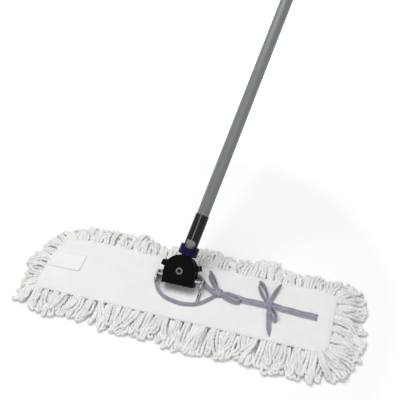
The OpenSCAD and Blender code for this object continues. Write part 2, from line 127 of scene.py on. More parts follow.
class CanvasSettings(bpy.types.PropertyGroup):
    """Sizes and colours of the canvas pocket and its label."""

    mesh_step: length("Mesh step", "Spacing of the canvas mesh", 0.0045)
    thickness: length("Thickness", "Thickness of the canvas", 0.0012)
    edge_roll: length("Edge roll", "Width over which the cover's edge rolls down", 0.010)
    edge_drop: length("Edge drop", "How far the cover's edge rolls down", 0.0032)
    wrinkle: length("Wrinkle", "Height of the soft wrinkles", 0.0005)
    hem_w: length("Hem width", "Distance of the sewn line from the cover's edge", 0.008)
    stitch_l: length("Stitch length", "Length of one stitch", 0.003)
    stitch_gap: length("Stitch gap", "Gap between two stitches", 0.0018)
    stitch_d: length("Stitch thickness", "Thickness of the sewing thread", 0.0007)
    canvas_colour: colour("Canvas", "Colour of the canvas", (0.86, 0.86, 0.845))
    # The base canvas is paler than the cover's canvas: painted light that brightens it in the shade inside
    # the eye
    base_painted_light_colour: colour("Base", "Colour of the base canvas", (0.95, 0.95, 0.94))
    label_colour: colour("Label", "Colour of the blank label", (0.90, 0.895, 0.88))


class YarnSettings(bpy.types.PropertyGroup):
    """Sizes and colour of the looped yarn."""

    strand_d: length("Strand", "Diameter of one yarn strand", 0.0067)
    loop_pitch: length("Loop pitch", "Spacing of the loops along the edge", 0.0162)
    loop_w: length("Loop width", "Width of a loop at its round end", 0.0072)
    reach_spread: length("Reach spread", "How much the reach changes along the edge", 0.0050)
    twist: length("Twist", "Length of one turn of the two plies", 0.0160)
    root_dip: length("Root dip", "How far a strand's sewn end dips below the canvas", 0.0045)
    lean: number("Lean", "How far the loops lean sideways", 0.40, subtype="ANGLE")
    seed: IntProperty(name="Seed", description="Picks one lay of the loops", default=7)
    yarn_colour: colour("Yarn", "Colour of the yarn", (0.915, 0.908, 0.888))


class TapeSettings(bpy.types.PropertyGroup):
    """Sizes and colour of the tapes and ties."""

    eye_w: length("Eye tape width", "Width of the tape round the eye", 0.0077)
    binding_w: length("Slit tape width", "Width of the tapes along the slit", 0.0095)
    binding_t: length("Binding thickness", "Thickness of the folded tape round the eye", 0.0020)
    tie_w: length("Tie width", "Width of the ties", 0.0105)
    tie_t: length("Tie thickness", "Thickness of the ties", 0.0010)
    tape_colour: colour("Tape", "Colour of the tapes", (0.325, 0.318, 0.372))


class HardwareSettings(bpy.types.PropertyGroup):
    """Colours and edges of the metal and plastic parts."""

    bevel_w: length("Bevel", "Width of the rounded edges", 0.0006)
    black: colour("Black plastic", "Colour of the hinge block, socket and grip", (0.0018, 0.0018, 0.0021))
    navy: colour("Collar plastic", "Colour of the lock collar", (0.0045, 0.004, 0.036))
    chrome: colour("Chrome wire", "Colour of the wire frame", (0.36, 0.37, 0.39))
    steel: colour("Rivet steel", "Colour of the rivet and screws", (0.145, 0.145, 0.148))
    # The rivet's hollow colour and its radius are painted shade, a dark colour put where shade falls in the
    # hollow
    hollow: colour("Hollow", "Colour of the rivet's hollow", (0.016, 0.016, 0.017))
    painted_shade_r: length("Rivet hollow", "Radius of the dark hollow in the rivet", 0.0035)
    tube: colour("Tube", "Colour of the handle's tube", (0.172, 0.188, 0.177))
    # The lighter colour over a length of the tube's lower end is a painted highlight
    highlight_colour: colour("Bare tube", "Colour of the tube's unpainted end", (0.215, 0.22, 0.215))
    highlight_l: length("Bare length", "Length of the tube's unpainted end", 0.0755)


class StageSettings(bpy.types.PropertyGroup):
    """Camera, floor and light."""

    lens: number("Lens", "Focal length on a 36 mm sensor", 62.98, unit="CAMERA")
    azimuth: number("Azimuth", "Camera's turn to the right", math.radians(16.331), subtype="ANGLE")
    elevation: number("Elevation", "Camera's height angle", math.radians(42.218), subtype="ANGLE")
    distance: length("Distance", "Camera's distance from its target", 1.5782)
    target: point("Target", "Point that the camera looks at", (-0.02406, 0.23006, 0.040))
    floor_size: length("Floor size", "Side of the square floor", 12.0)
    floor_colour: colour("Floor", "Colour of the floor", (0.90, 0.90, 0.90))
    floor_glow: number("Floor glow", "White added to the floor below the mop", 0.12)
    near: length("Near floor", "Distance from the joint where the floor starts to turn white", 0.42)
    far: length("Far floor", "Distance from the joint where the floor is white", 1.0)
    sky: number("Sky", "Strength of the light from straight above", 0.58)
    sides: number("Sides", "Strength of the light from the sides", 0.36)
    lamp_size: length("Lamp size", "Side of the square lamps", 1.3)
    key_power: number("Key power", "Power of the upper lamp", 22.0, unit="POWER")
    key_place: point("Key place", "Place of the upper lamp", (-0.50, 0.10, 2.0))
    fill_power: number("Fill power", "Power of the front lamp", 4.0, unit="POWER")
    fill_place: point("Fill place", "Place of the front lamp", (0.35, -1.45, 1.5))


def smooth_line(points, per_span, closed=False):
    """A smooth curve through points, with per_span steps between neighbours."""
    p = np.asarray(points, float)
    count = len(p)
    t = np.linspace(0, 1, per_span, endpoint=False)[:, None]
    parts = []
    for i in range(count if closed else count - 1):
        b = p[i]
        c = p[(i + 1) % count]
        a = p[i - 1] if closed or i else 2 * b - c
        d = p[(i + 2) % count] if closed or i + 2 < count else 2 * c - b
        curve = 2 * b + (c - a) * t + (2 * a - 5 * b + 4 * c - d) * t**2 + (3 * b - a - 3 * c + d) * t**3
        parts.append(curve / 2)
    if not closed:
        parts.append(p[-1:])
    return np.concatenate(parts)


def run_along(line):
    """Distance of each point of a line from its start, along the line."""
    return np.concatenate([[0], np.cumsum(np.linalg.norm(np.diff(line, axis=0), axis=1))])


def even_steps(line, step, closed=False):
    """The same line with points at even distances along it."""
    if closed:
        line = np.vstack([line, line[:1]])
    run = run_along(line)
    count = max(int(round(run[-1] / step)), 2)
    at = np.linspace(0, run[-1], count + 1)
    even = np.stack([np.interp(at, run, line[:, k]) for k in range(line.shape[1])], axis=1)
    return even[:-1] if closed else even


def even_curve(points, step, closed=False, per_span=10):
    """Even points in metres along a smooth curve through points in millimetres."""
    return even_steps(smooth_line(np.array(points) * MM, per_span, closed), step, closed)


def unit(vectors):
    """The same directions at length 1."""
    return vectors / np.maximum(np.linalg.norm(vectors, axis=-1, keepdims=True), 1e-12)


def directions(line, closed=False):
    """Unit direction of travel at each point of a line."""
    if closed:
        return unit(np.roll(line, -1, axis=0) - np.roll(line, 1, axis=0))
    return unit(np.gradient(line, axis=0))


def outwards(line):
    """Outward directions of a closed plan line that runs counterclockwise."""
    ahead = directions(line, closed=True)
    return np.column_stack([ahead[:, 1], -ahead[:, 0]])


def cover_outline(step, inset=0.0):
    """Even points round the cover's edge in plan, moved inwards by an inset."""
    line = even_curve(np.array(COVER_LINE)[:, :2], step, closed=True)
    return line - inset * outwards(line)


def eye_curve(step):
    """Middle of the tape round the eye, in plan."""
    return even_curve(EYE_LINE, step, closed=True, per_span=8)


def outline_distance(plan, outline):
    """Distance of plan points from a closed outline."""
    run = np.roll(outline, -1, axis=0) - outline
    to = plan[:, None, :] - outline[None]
    share = np.clip(np.sum(to * run, axis=2) / np.sum(run * run, axis=1), 0, 1)
    return np.linalg.norm(to - share[..., None] * run, axis=2).min(axis=1)


def inside_outline(plan, outline):
    """True for each plan point that lies inside a closed outline."""
    x, y = plan[:, :1], plan[:, 1:]
    ax, ay = outline[:, 0], outline[:, 1]
    bx, by = np.roll(ax, -1), np.roll(ay, -1)
    crosses = (ay > y) != (by > y)
    at = ax + (y - ay) * (bx - ax) / np.where(by == ay, 1, by - ay)
    return (crosses & (x < at)).sum(axis=1) % 2 == 1


def ripples(plan, waves):
    """Sum of soft waves over the plan, between -1 and 1."""
    total = np.zeros(len(plan))
    for wave_l, angle, phase in waves:
        along = plan[:, 0] * math.cos(angle) + plan[:, 1] * math.sin(angle)
        total += np.sin(2 * math.pi * along / wave_l + phase)
    return total / len(waves)


# Spacing of the points of the cover's edge that its roll is measured from
EDGE_STEP = 0.006


def cover_height(plan, canvas):
    """Height of the cover's top face over plan points."""
    edge = outline_distance(plan, cover_outline(EDGE_STEP))
    roll = np.clip(1 - edge / canvas.edge_roll, 0, 1)
    wrinkles = canvas.wrinkle * ripples(plan, COVER_WAVES) * (1 - roll)
    return COVER_TOP + wrinkles - canvas.edge_drop * roll**2


def lift(plan, canvas, above=0.0):
    """Plan points set on the cover, at a height above it."""
    return np.column_stack([plan, cover_height(plan, canvas) + above])


def new_object(name, points, faces, material, smooth=True, recalc=True):
    """A mesh object in the scene; recalc turns its faces outwards."""
    mesh = bpy.data.meshes.new(name)
    mesh.from_pydata(np.asarray(points).tolist(), [], faces)
    if recalc:
        work = bmesh.new()
        work.from_mesh(mesh)
        bmesh.ops.recalc_face_normals(work, faces=work.faces)
        work.to_mesh(mesh)
        work.free()
    mesh.polygons.foreach_set("use_smooth", [smooth] * len(mesh.polygons))
    mesh.materials.append(material)
    made = bpy.data.objects.new(name, mesh)
    bpy.context.scene.collection.objects.link(made)
    return made


def add_attribute(made, name, values):
    """Stores one number for each point of a mesh, for its material to read."""
    attribute = made.data.attributes.new(name, "FLOAT", "POINT")
    attribute.data.foreach_set("value", np.asarray(values, np.float32))


def settle(piece, slot, *nodes):
    """Sets a soft piece on the mop's head and hides the nodes that it stands for; the slot is not used."""
    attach(piece, HEAD)
    if nodes:
        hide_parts(*nodes)


def skin(rings, closed=False):
    """Points and faces of a skin over rings of points, with flat ends where it isn't closed."""
    rows, count = rings.shape[:2]
    faces = []
    for i in range(rows if closed else rows - 1):
        a = i * count
        b = (i + 1) % rows * count
        faces += [(a + j, a + (j + 1) % count, b + (j + 1) % count, b + j) for j in range(count)]
    if not closed:
        faces.append(tuple(range(count)))
        faces.append(tuple(range(rows * count - count, rows * count))[::-1])
    return rings.reshape(-1, 3), faces


class Parts:
    """Collects skins that become one mesh object."""

    def __init__(self):
        self.points = []
        self.faces = []
        self.values = {"across": [], "along": [], "rim": []}
        self.count = 0

    def add(self, points, faces, **values):
        """Adds one skin, with numbers for its material at each of its points."""
        self.points.append(points)
        self.faces += [tuple(i + self.count for i in f) for f in faces]
        for key, kept in self.values.items():
            kept.append(values.get(key, np.zeros(len(points))))
        self.count += len(points)

    def build(self, name, material):
        """Makes the mesh object."""
        made = new_object(name, np.concatenate(self.points), self.faces, material)
        for key, values in self.values.items():
            add_attribute(made, key, np.concatenate(values))
        return made


# Section of a tape, in shares of its width and its thickness
TAPE_SECTION = np.array([
    (-0.5, 0.0), (-0.46, 0.5), (-0.25, 0.5), (0.0, 0.5), (0.25, 0.5), (0.46, 0.5),
    (0.5, 0.0), (0.46, -0.5), (0.25, -0.5), (0.0, -0.5), (-0.25, -0.5), (-0.46, -0.5),
])
# Rows of points at a tape's end over which its cut slants
SLANT_ROWS = 6


def add_tape(parts, line, across, width, thickness, curl=0.0, slant=0.0, closed=False):
    """Adds a tape along a line, with across as its width directions; curl cups it and slant cuts its end."""
    ahead = directions(line, closed)
    across = unit(across - ahead * np.sum(across * ahead, axis=1, keepdims=True))
    face = np.cross(across, ahead)
    u = TAPE_SECTION[None, :, :1]
    v = TAPE_SECTION[None, :, 1:]
    width = np.broadcast_to(np.asarray(width, float), len(line))[:, None, None]
    ends = np.zeros(len(line))
    ends[-SLANT_ROWS:] = np.linspace(0, 1, SLANT_ROWS)
    rings = (
        line[:, None, :]
        + across[:, None, :] * u * width
        + face[:, None, :] * (v * thickness + curl * (2 * u) ** 2)
        + ahead[:, None, :] * u * slant * ends[:, None, None]
    )
    points, faces = skin(rings, closed)
    parts.add(
        points, faces,
        across=(u * width).reshape(-1),
        along=run_along(line).repeat(len(TAPE_SECTION)),
        rim=np.tile(2 * np.abs(TAPE_SECTION[:, 0]), len(line)),
    )


# Rings of a stitch: place in shares of its length, then radius and dip in shares of its thread's
STITCH_RINGS = np.array([(-0.5, 0.35, -0.5), (-0.3, 1.0, 0.15), (0.3, 1.0, 0.15), (0.5, 0.35, -0.5)])
STITCH_SIDES = 6
STEPS_PER_STITCH = 4


def add_stitches(parts, line, canvas, closed=False):
    """Adds a row of stitches that lie on a line of points in space."""
    fine = even_steps(line, (canvas.stitch_l + canvas.stitch_gap) / STEPS_PER_STITCH, closed)
    ahead = directions(fine, closed)
    aside = unit(np.cross(ahead, UP))
    turn = np.linspace(0, 2 * math.pi, STITCH_SIDES, endpoint=False)
    along, swell, dip = STITCH_RINGS.T
    radius = swell * canvas.stitch_d / 2
    half = STEPS_PER_STITCH // 2
    for i in range(half, len(fine) - half, STEPS_PER_STITCH):
        middle = fine[i] + along[:, None] * canvas.stitch_l * ahead[i]
        middle[:, 2] += dip * canvas.stitch_d
        around = np.cos(turn)[:, None] * aside[i] + np.sin(turn)[:, None] * UP
        points, faces = skin(middle[:, None, :] + radius[:, None, None] * around[None])
        parts.add(points, faces)


def node(tree, kind, settings=None, **inputs):
    """Adds a shader node; inputs are values or the output sockets that feed it."""
    made = tree.nodes.new(kind)
    for key, value in (settings or {}).items():
        setattr(made, key, value)
    for key, value in inputs.items():
        socket = made.inputs[key.replace("_", " ")]
        if isinstance(value, bpy.types.NodeSocket):
            tree.links.new(value, socket)
        else:
            socket.default_value = value
    return made


def combine(tree, operation, first, second):
    """Socket with two numbers combined by an operation."""
    made = node(tree, "ShaderNodeMath", {"operation": operation})
    tree.links.new(first, made.inputs[0])
    tree.links.new(second, made.inputs[1])
    return made.outputs["Value"]


def ranged(tree, value, **limits):
    """Socket with a number moved from one range to another."""
    return node(tree, "ShaderNodeMapRange", Value=value, **limits).outputs["Result"]


def own_place(tree):
    """Socket with the place of each point on its own object."""
    return node(tree, "ShaderNodeTexCoord").outputs["Object"]


def place_along(tree, axis, scale, middle=(0, 0, 0)):
    """Socket with each point's place from a middle, with Z along an axis, in units of a scale."""
    turn = Vector(UP).rotation_difference(axis).to_euler()
    return node(
        tree, "ShaderNodeMapping", {"vector_type": "TEXTURE"},
        Vector=own_place(tree), Location=middle, Rotation=turn, Scale=scale,
    ).outputs["Vector"]


def distance(tree, place):
    """Socket with the length of a place's vector."""
    return node(tree, "ShaderNodeVectorMath", {"operation": "LENGTH"}, Vector=place).outputs["Value"]


def read_attribute(tree, name):
    """Socket with a number that is stored on the mesh."""
    return node(tree, "ShaderNodeAttribute", {"attribute_name": name}).outputs["Fac"]


def noise(tree, place, scale, detail, roughness=0.5):
    """Socket with a soft random pattern."""
    made = node(
        tree, "ShaderNodeTexNoise", Vector=place, Scale=scale, Detail=detail, Roughness=roughness
    )
    return made.outputs["Fac"]


def bands(tree, place, direction, scale, distortion):
    """Socket with a pattern of bands in one direction."""
    made = node(
        tree, "ShaderNodeTexWave", {"bands_direction": direction},
        Vector=place, Scale=scale, Distortion=distortion,
    )
    return made.outputs["Fac"]


def new_material(name, **sockets):
    """A material with one shader, whose plain sockets are set, as (tree, shader, material)."""
    material = bpy.data.materials.new(name)
    material.use_nodes = True
    tree = material.node_tree
    shader = tree.nodes["Principled BSDF"]
    for key, value in sockets.items():
        shader.inputs[key.replace("_", " ")].default_value = value
    return tree, shader, material


def tint(tree, shader, factor, colour_a, colour_b, low=0.3, high=0.7):
    """Blends the shader's colour between two colours by a factor."""
    ramp = node(tree, "ShaderNodeValToRGB", Fac=factor)
    ramp.color_ramp.elements[0].position = low
    ramp.color_ramp.elements[1].position = high
    ramp.color_ramp.elements[0].color = (*colour_a, 1)
    ramp.color_ramp.elements[1].color = (*colour_b, 1)
    tree.links.new(ramp.outputs["Color"], shader.inputs["Base Color"])


def roughen(tree, shader, factor, low, high):
    """Spreads the shader's roughness between two values by a factor."""
    tree.links.new(ranged(tree, factor, To_Min=low, To_Max=high), shader.inputs["Roughness"])


def emboss(tree, shader, height, strength, depth):
    """Adds surface relief from a height."""
    bump = node(tree, "ShaderNodeBump", Height=height, Strength=strength, Distance=depth)
    tree.links.new(bump.outputs["Normal"], shader.inputs["Normal"])


def times(shade, factor):
    """A colour times a factor."""
    return tuple(c * factor for c in shade)


def canvas_material(name, shade, thread):
    """Plain-woven cotton canvas with threads of one width, slubs and faint soiling."""
    tree, shader, material = new_material(
        name, Sheen_Weight=0.15, Sheen_Roughness=0.5, Specular_IOR_Level=0.2
    )
    place = own_place(tree)
    # At this scale a wave texture's bands are one thread apart
    scale = 2 * math.pi / (20 * thread)
    warp = bands(tree, place, "X", scale, 0.6)
    weft = bands(tree, place, "Y", scale, 0.6)
    weave = combine(tree, "MULTIPLY", warp, weft)
    slubs = noise(tree, place, 35.0, 5.0)
    tint(tree, shader, slubs, times(shade, 0.965), shade)
    roughen(tree, shader, weave, 0.95, 0.8)
    emboss(tree, shader, weave, 0.35, 0.0004)
    return material


def thread_material(canvas):
    """White sewing thread."""
    return canvas_material("white_thread", canvas.canvas_colour, SEWING_THREAD)


def yarn_material(yarn):
    """Soft cotton yarn with fibres, and a tone of its own for each loop."""
    tree, shader, material = new_material(
        "cotton_yarn", Sheen_Weight=0.3, Sheen_Roughness=0.6, Roughness=0.95, Specular_IOR_Level=0.15
    )
    shade = yarn.yarn_colour
    fibres = noise(tree, own_place(tree), 900.0, 4.0, 0.7)
    tint(tree, shader, read_attribute(tree, "tone"), times(shade, 0.9), shade, 0.0, 1.0)
    emboss(tree, shader, fibres, 0.3, 0.0006)
    return material


def tape_material(tape):
    """Woven cotton tape with slanted ribs, faded in patches, and lighter along its edges, where a highlight
    is painted.
    """
    tree, shader, material = new_material(
        "grey_tape", Sheen_Weight=0.2, Sheen_Roughness=0.4, Specular_IOR_Level=0.25
    )
    shade = tape.tape_colour
    across = read_attribute(tree, "across")
    along = read_attribute(tree, "along")
    flat = node(tree, "ShaderNodeCombineXYZ", X=across, Y=along).outputs["Vector"]
    ribs = bands(tree, flat, "DIAGONAL", 230.0, 0.8)
    fade = noise(tree, own_place(tree), 75.0, 6.0, 0.7)
    # Painted highlight: the tape is lightened towards its edges
    edge_highlight = ranged(tree, read_attribute(tree, "rim"), From_Min=0.6, From_Max=1.0, To_Max=0.45)
    fade_and_highlight = combine(tree, "ADD", fade, edge_highlight)
    tint(tree, shader, fade_and_highlight, times(shade, 0.62), times(shade, 1.5), 0.3, 0.95)
    roughen(tree, shader, ribs, 0.9, 0.7)
    emboss(tree, shader, ribs, 0.45, 0.0004)
    return material


def plastic_material(name, shade, low, high, gloss):
    """Moulded plastic with a fine grain, a roughness that varies and faint scuffs."""
    tree, shader, material = new_material(name, Specular_IOR_Level=gloss)
    place = own_place(tree)
    scuffs = noise(tree, place, 60.0, 6.0, 0.7)
    grain = noise(tree, place, 1800.0, 2.0)
    tint(tree, shader, scuffs, shade, times(shade, 1.5), 0.45, 0.75)
    roughen(tree, shader, scuffs, low, high)
    emboss(tree, shader, grain, 0.12, 0.0002)
    return material


# Length of a streak in drawn metal
STREAK_L = 1 / 6
# Outer radius of the soft rim of the painted shade round the rivet's hollow, as a share of the hollow's
# radius
PAINTED_SHADE_RIM = 1.15


def metal_material(name, shade, metallic, low, high, axis, fineness):
    """Drawn metal with streaks along an axis, so many to a metre, and a roughness that follows them."""
    tree, shader, material = new_material(name, Metallic=metallic)
    drawn = place_along(tree, axis, (1 / fineness, 1 / fineness, STREAK_L))
    streaks = noise(tree, drawn, 1.0, 4.0, 0.6)
    tint(tree, shader, streaks, times(shade, 0.9), times(shade, 1.06))
    roughen(tree, shader, streaks, low, high)
    emboss(tree, shader, streaks, 0.05, 0.0002)
    return material


def cover_colour(tree, factor, shade):
    """Puts a plain colour over the shader's own where a factor is 0."""
    base = tree.nodes["Principled BSDF"].inputs["Base Color"]
    own = base.links[0].from_socket
    blend = node(tree, "ShaderNodeMixRGB", Fac=factor, Color1=(*shade, 1), Color2=own)
    tree.links.new(blend.outputs["Color"], base)


def paint_tube_end_highlight(material, part, axis, highlight_l, shade):
    """Paints a lighter colour, a painted highlight, on a tube's lower end, over a length from where its mesh
    starts along an axis.
    """
    tree = material.node_tree
    end = min(v.co.dot(axis) for v in part.data.vertices) + highlight_l
    along = node(tree, "ShaderNodeVectorMath", {"operation": "DOT_PRODUCT"})
    tree.links.new(own_place(tree), along.inputs[0])
    along.inputs[1].default_value = axis
    # The factor is 0 on the tube's lower end, which gets the painted highlight, and 1 on the rest of the tube
    painted = ranged(tree, along.outputs["Value"], From_Min=end, From_Max=end + MM)
    cover_colour(tree, painted, shade)


def paint_hollow_shade(material, middle, axis, painted_shade_r, shade):
    """Paints shade into the hollow of a rivet: darkens it out to a radius from its axis."""
    tree = material.node_tree
    # The large scale along the axis leaves only the distance from it
    flat = place_along(tree, axis, (1, 1, 1e6), middle)
    unshaded = ranged(tree, distance(tree, flat), From_Min=painted_shade_r, From_Max=PAINTED_SHADE_RIM * painted_shade_r)
    cover_colour(tree, unshaded, shade)


def shared(name, make, *settings):
    """A material that several pieces use, made at its first use."""
    return bpy.data.materials.get(name) or make(*settings)


# Least distance of a cloth mesh's inner points from its rims, in mesh steps, and the gap that it closes
RIM_STEPS = 0.6
MESH_GAP = 1e-7


def in_cloth(plan, outline, holes):
    """True for each plan point inside an outline and outside its holes."""
    inside = inside_outline(plan, outline)
    for hole in holes:
        inside &= ~inside_outline(plan, hole)
    return inside


def cloth_faces(step, outline, *holes):
    """Plan points and triangles of cloth inside an outline, less its holes."""
    low, high = outline.min(axis=0), outline.max(axis=0)
    xs = np.arange(low[0] + step, high[0], step)
    ys = np.arange(low[1] + step, high[1], step)
    grid = np.stack(np.meshgrid(xs, ys), axis=-1).reshape(-1, 2)
    edges = []
    start = 0
    for rim in (outline, *holes):
        count = len(rim)
        edges += [(start + i, start + (i + 1) % count) for i in range(count)]
        start += count
        near = np.min(np.linalg.norm(grid[:, None, :] - rim[None], axis=2), axis=1)
        grid = grid[near > RIM_STEPS * step]
    grid = grid[in_cloth(grid, outline, holes)]
    places = [Vector(p) for p in np.concatenate([outline, *holes, grid])]
    made = geometry.delaunay_2d_cdt(places, edges, [], 1, MESH_GAP)
    plan = np.array([v[:] for v in made[0]])
    faces = np.array([f[:] for f in made[2]])
    keep = in_cloth(plan[faces].mean(axis=1), outline, holes)
    return plan, [tuple(f) for f in faces[keep]]


def thicken(made, thickness):
    """Gives a cloth its thickness, below its top face."""
    solid = made.modifiers.new("thickness", "SOLIDIFY")
    solid.thickness = thickness
    solid.offset = -1


# How far the base's edge stays inside the cover's, and the height of its wrinkles as a share of the cover's
BASE_INSET = 0.002
BASE_WRINKLE = 0.6


class DUSTMOP_OT_base(bpy.types.Operator):
    """Makes the base canvas that shows inside the eye"""

    bl_idname = "dustmop.base"
    bl_label = "Base Canvas"

    def execute(self, context):
        canvas = context.scene.dustmop_canvas
        outline = cover_outline(canvas.mesh_step, BASE_INSET)
        plan, faces = cloth_faces(2 * canvas.mesh_step, outline)
        height = BASE_TOP - BASE_WRINKLE * canvas.wrinkle * (1 + ripples(plan, COVER_WAVES))
        # Painted light: the base canvas gets a paler colour to brighten the shade inside the eye
        cloth = canvas_material("base_cotton_canvas", canvas.base_painted_light_colour, CANVAS_THREAD)
        made = new_object("base_cloth", np.column_stack([plan, height]), faces, cloth)
        thicken(made, canvas.thickness)
        settle(made, "canvas", "base_canvas")
        return {"FINISHED"}


class DUSTMOP_OT_cover(bpy.types.Operator):
    """Makes the canvas cover with its eye and its sewn hem"""

    bl_idname = "dustmop.cover"
    bl_label = "Canvas Cover"

    def execute(self, context):
        canvas = context.scene.dustmop_canvas
        outline = cover_outline(canvas.mesh_step)
        hole = eye_curve(canvas.mesh_step)
        plan, faces = cloth_faces(canvas.mesh_step, outline, hole)
        cloth = canvas_material("cover_cotton_canvas", canvas.canvas_colour, CANVAS_THREAD)
        made = new_object("cover_cloth", lift(plan, canvas), faces, cloth)
        thicken(made, canvas.thickness)
        settle(made, "canvas", "cover_canvas")

        hem = Parts()
        add_stitches(hem, lift(cover_outline(canvas.mesh_step, canvas.hem_w), canvas), canvas, closed=True)
        seam = hem.build("hem_stitches", shared("white_thread", thread_material, canvas))
        settle(seam, "canvas")
        return {"FINISHED"}


# Layers of the fringe from the lowest up. In millimetres: heights of a loop's root and tip, its arch between
# them and its lap over the canvas. As shares: its reach, its lean and its spacing along the edge.
FRINGE_LAYERS = [
    {"root": 5.5, "tip": 3.2, "reach": 1.03, "arch": 0.0, "lap": 0.0, "lean": 0.2, "every": 0.95},
    {"root": 12.5, "tip": 4.6, "reach": 1.0, "arch": 1.0, "lap": 0.0, "lean": 0.8, "every": 1.0},
    {"root": 15.5, "tip": 6.0, "reach": 0.95, "arch": 2.0, "lap": 2.5, "lean": 1.0, "every": 1.2},
    {"root": 16.5, "tip": 8.5, "reach": 0.80, "arch": 3.0, "lap": 4.0, "lean": 1.0, "every": 1.6},
]
# Place of the first layer's first loop, the shift from layer to layer and a root's stray, in loop pitches
FIRST_PLACE = 0.2
LAYER_SHIFT = 0.37
ROOT_STRAY = 0.2
# Spacing of the points of the cover's edge that roots are picked from
ROOT_STEP = 0.002
# How much closer the loops stand at the rear
REAR_DENSITY = 0.35
# A loop belongs to a side if this share of its outward direction lies along X or Y, and else to a corner
SIDE_SHARE = 0.94
# Ranges that the loops' lay is drawn from: shares of a width, an arch and a lap, the angle of a roll,
# and in metres the size of the sideways waves and the height added to a tip
WIDTH_SHARES = (0.9, 1.25)
ARCH_SHARES = (0.4, 1.6)
LAP_SHARES = (0.3, 1.2)
ROLL_ANGLES = (-0.7, 0.7)
WAVE_SIZES = (0.0005, 0.0045)
TIP_HEIGHTS = (-0.0004, 0.0030)
# How much higher the tips and arches of standing loops can be
STANDING_TIP = 0.004
STANDING_ARCH = 0.005
# Limits of how much the loops gather and lean
MAX_GATHER = 1.6
MAX_LEAN = 0.8
# Height of the small waves along a loop
SMALL_WAVE = 0.0015
# Length of a strand that is sewn to the canvas
SEWN_L = 0.004
# How far the two plies stand out from a round strand, as a share of its radius
PLY_SWELL = 0.12
STRAND_SIDES = 8
LOOP_RINGS = 60


def fringe_roots(pitch, offset, rng):
    """Root points, outward directions and reaches of one layer of loops round the cover."""
    line = even_curve(COVER_LINE, ROOT_STEP, closed=True)
    outs = outwards(line[:, :2])
    middles = line[:, :2] + outs * line[:, 2:] / 2
    density = 1 + REAR_DENSITY * np.clip(outs[:, 1], 0, 1)
    run = np.cumsum(density * np.linalg.norm(np.roll(middles, -1, axis=0) - middles, axis=1))
    count = int(run[-1] / pitch)
    share = (np.arange(count) + offset + rng.uniform(-ROOT_STRAY, ROOT_STRAY, count)) / count % 1
    at = np.searchsorted(run, share * run[-1])
    return line[at, :2], outs[at], line[at, 2]


def fringe_sides(outs):
    """Name of the side of the cover that each outward direction belongs to."""
    x, y = outs.T
    end = np.where(x > 0, "right", "left")
    long_side = np.where(y > 0, "rear", "front")
    side = np.where(np.abs(x) > np.abs(y), end, long_side)
    return np.where(np.maximum(np.abs(x), np.abs(y)) < SIDE_SHARE, "corners", side)


def loop_lay(roots, outs, reach, layer, yarn, rng):
    """How each loop of a layer lies, drawn at random around the layer's own values, as columns."""
    count = len(roots)
    drift = ripples(roots, REACH_WAVES)
    sway = ripples(roots, SWAY_WAVES)
    # Loops stand up most at the rear and half as much at the left end
    standing = np.clip(outs[:, 1] - 0.5 * outs[:, 0], 0, 1)
    # Loops reach further where their neighbours lean towards them
    gather = np.roll(sway, 1) - np.roll(sway, -1)
    gather = np.clip(gather / gather.std(), -MAX_GATHER, MAX_GATHER)
    spread = (1 + 0.4 * standing) * drift + 0.7 * gather + 0.5 * rng.normal(size=count)
    width = yarn.loop_w * rng.uniform(*WIDTH_SHARES, count)
    stray = (0.45 + 0.75 * standing) * rng.normal(size=count)
    lean = np.clip(yarn.lean * ((1.5 - 0.6 * standing) * sway + stray), -MAX_LEAN, MAX_LEAN)
    roll = rng.uniform(*ROLL_ANGLES, count)
    wave = rng.uniform(*WAVE_SIZES, count)
    phase = rng.uniform(0, 2 * math.pi, count)
    tip = layer["tip"] * MM + rng.uniform(*TIP_HEIGHTS, count)
    tip = tip + STANDING_TIP * standing * rng.uniform(0, 1, count)
    arch = layer["arch"] * MM * rng.uniform(*ARCH_SHARES, count)
    arch = arch + STANDING_ARCH * standing * rng.uniform(0, 1, count)
    lap = layer["lap"] * MM * standing * rng.uniform(*LAP_SHARES, count)
    return SimpleNamespace(
        reach=(reach * layer["reach"] + yarn.reach_spread * spread)[:, None],
        end_r=(width / 2)[:, None], lean=(layer["lean"] * lean)[:, None], roll=roll[:, None],
        wave=wave[:, None], phase=phase[:, None], tip=tip[:, None], arch=arch[:, None], lap=lap[:, None],
    )


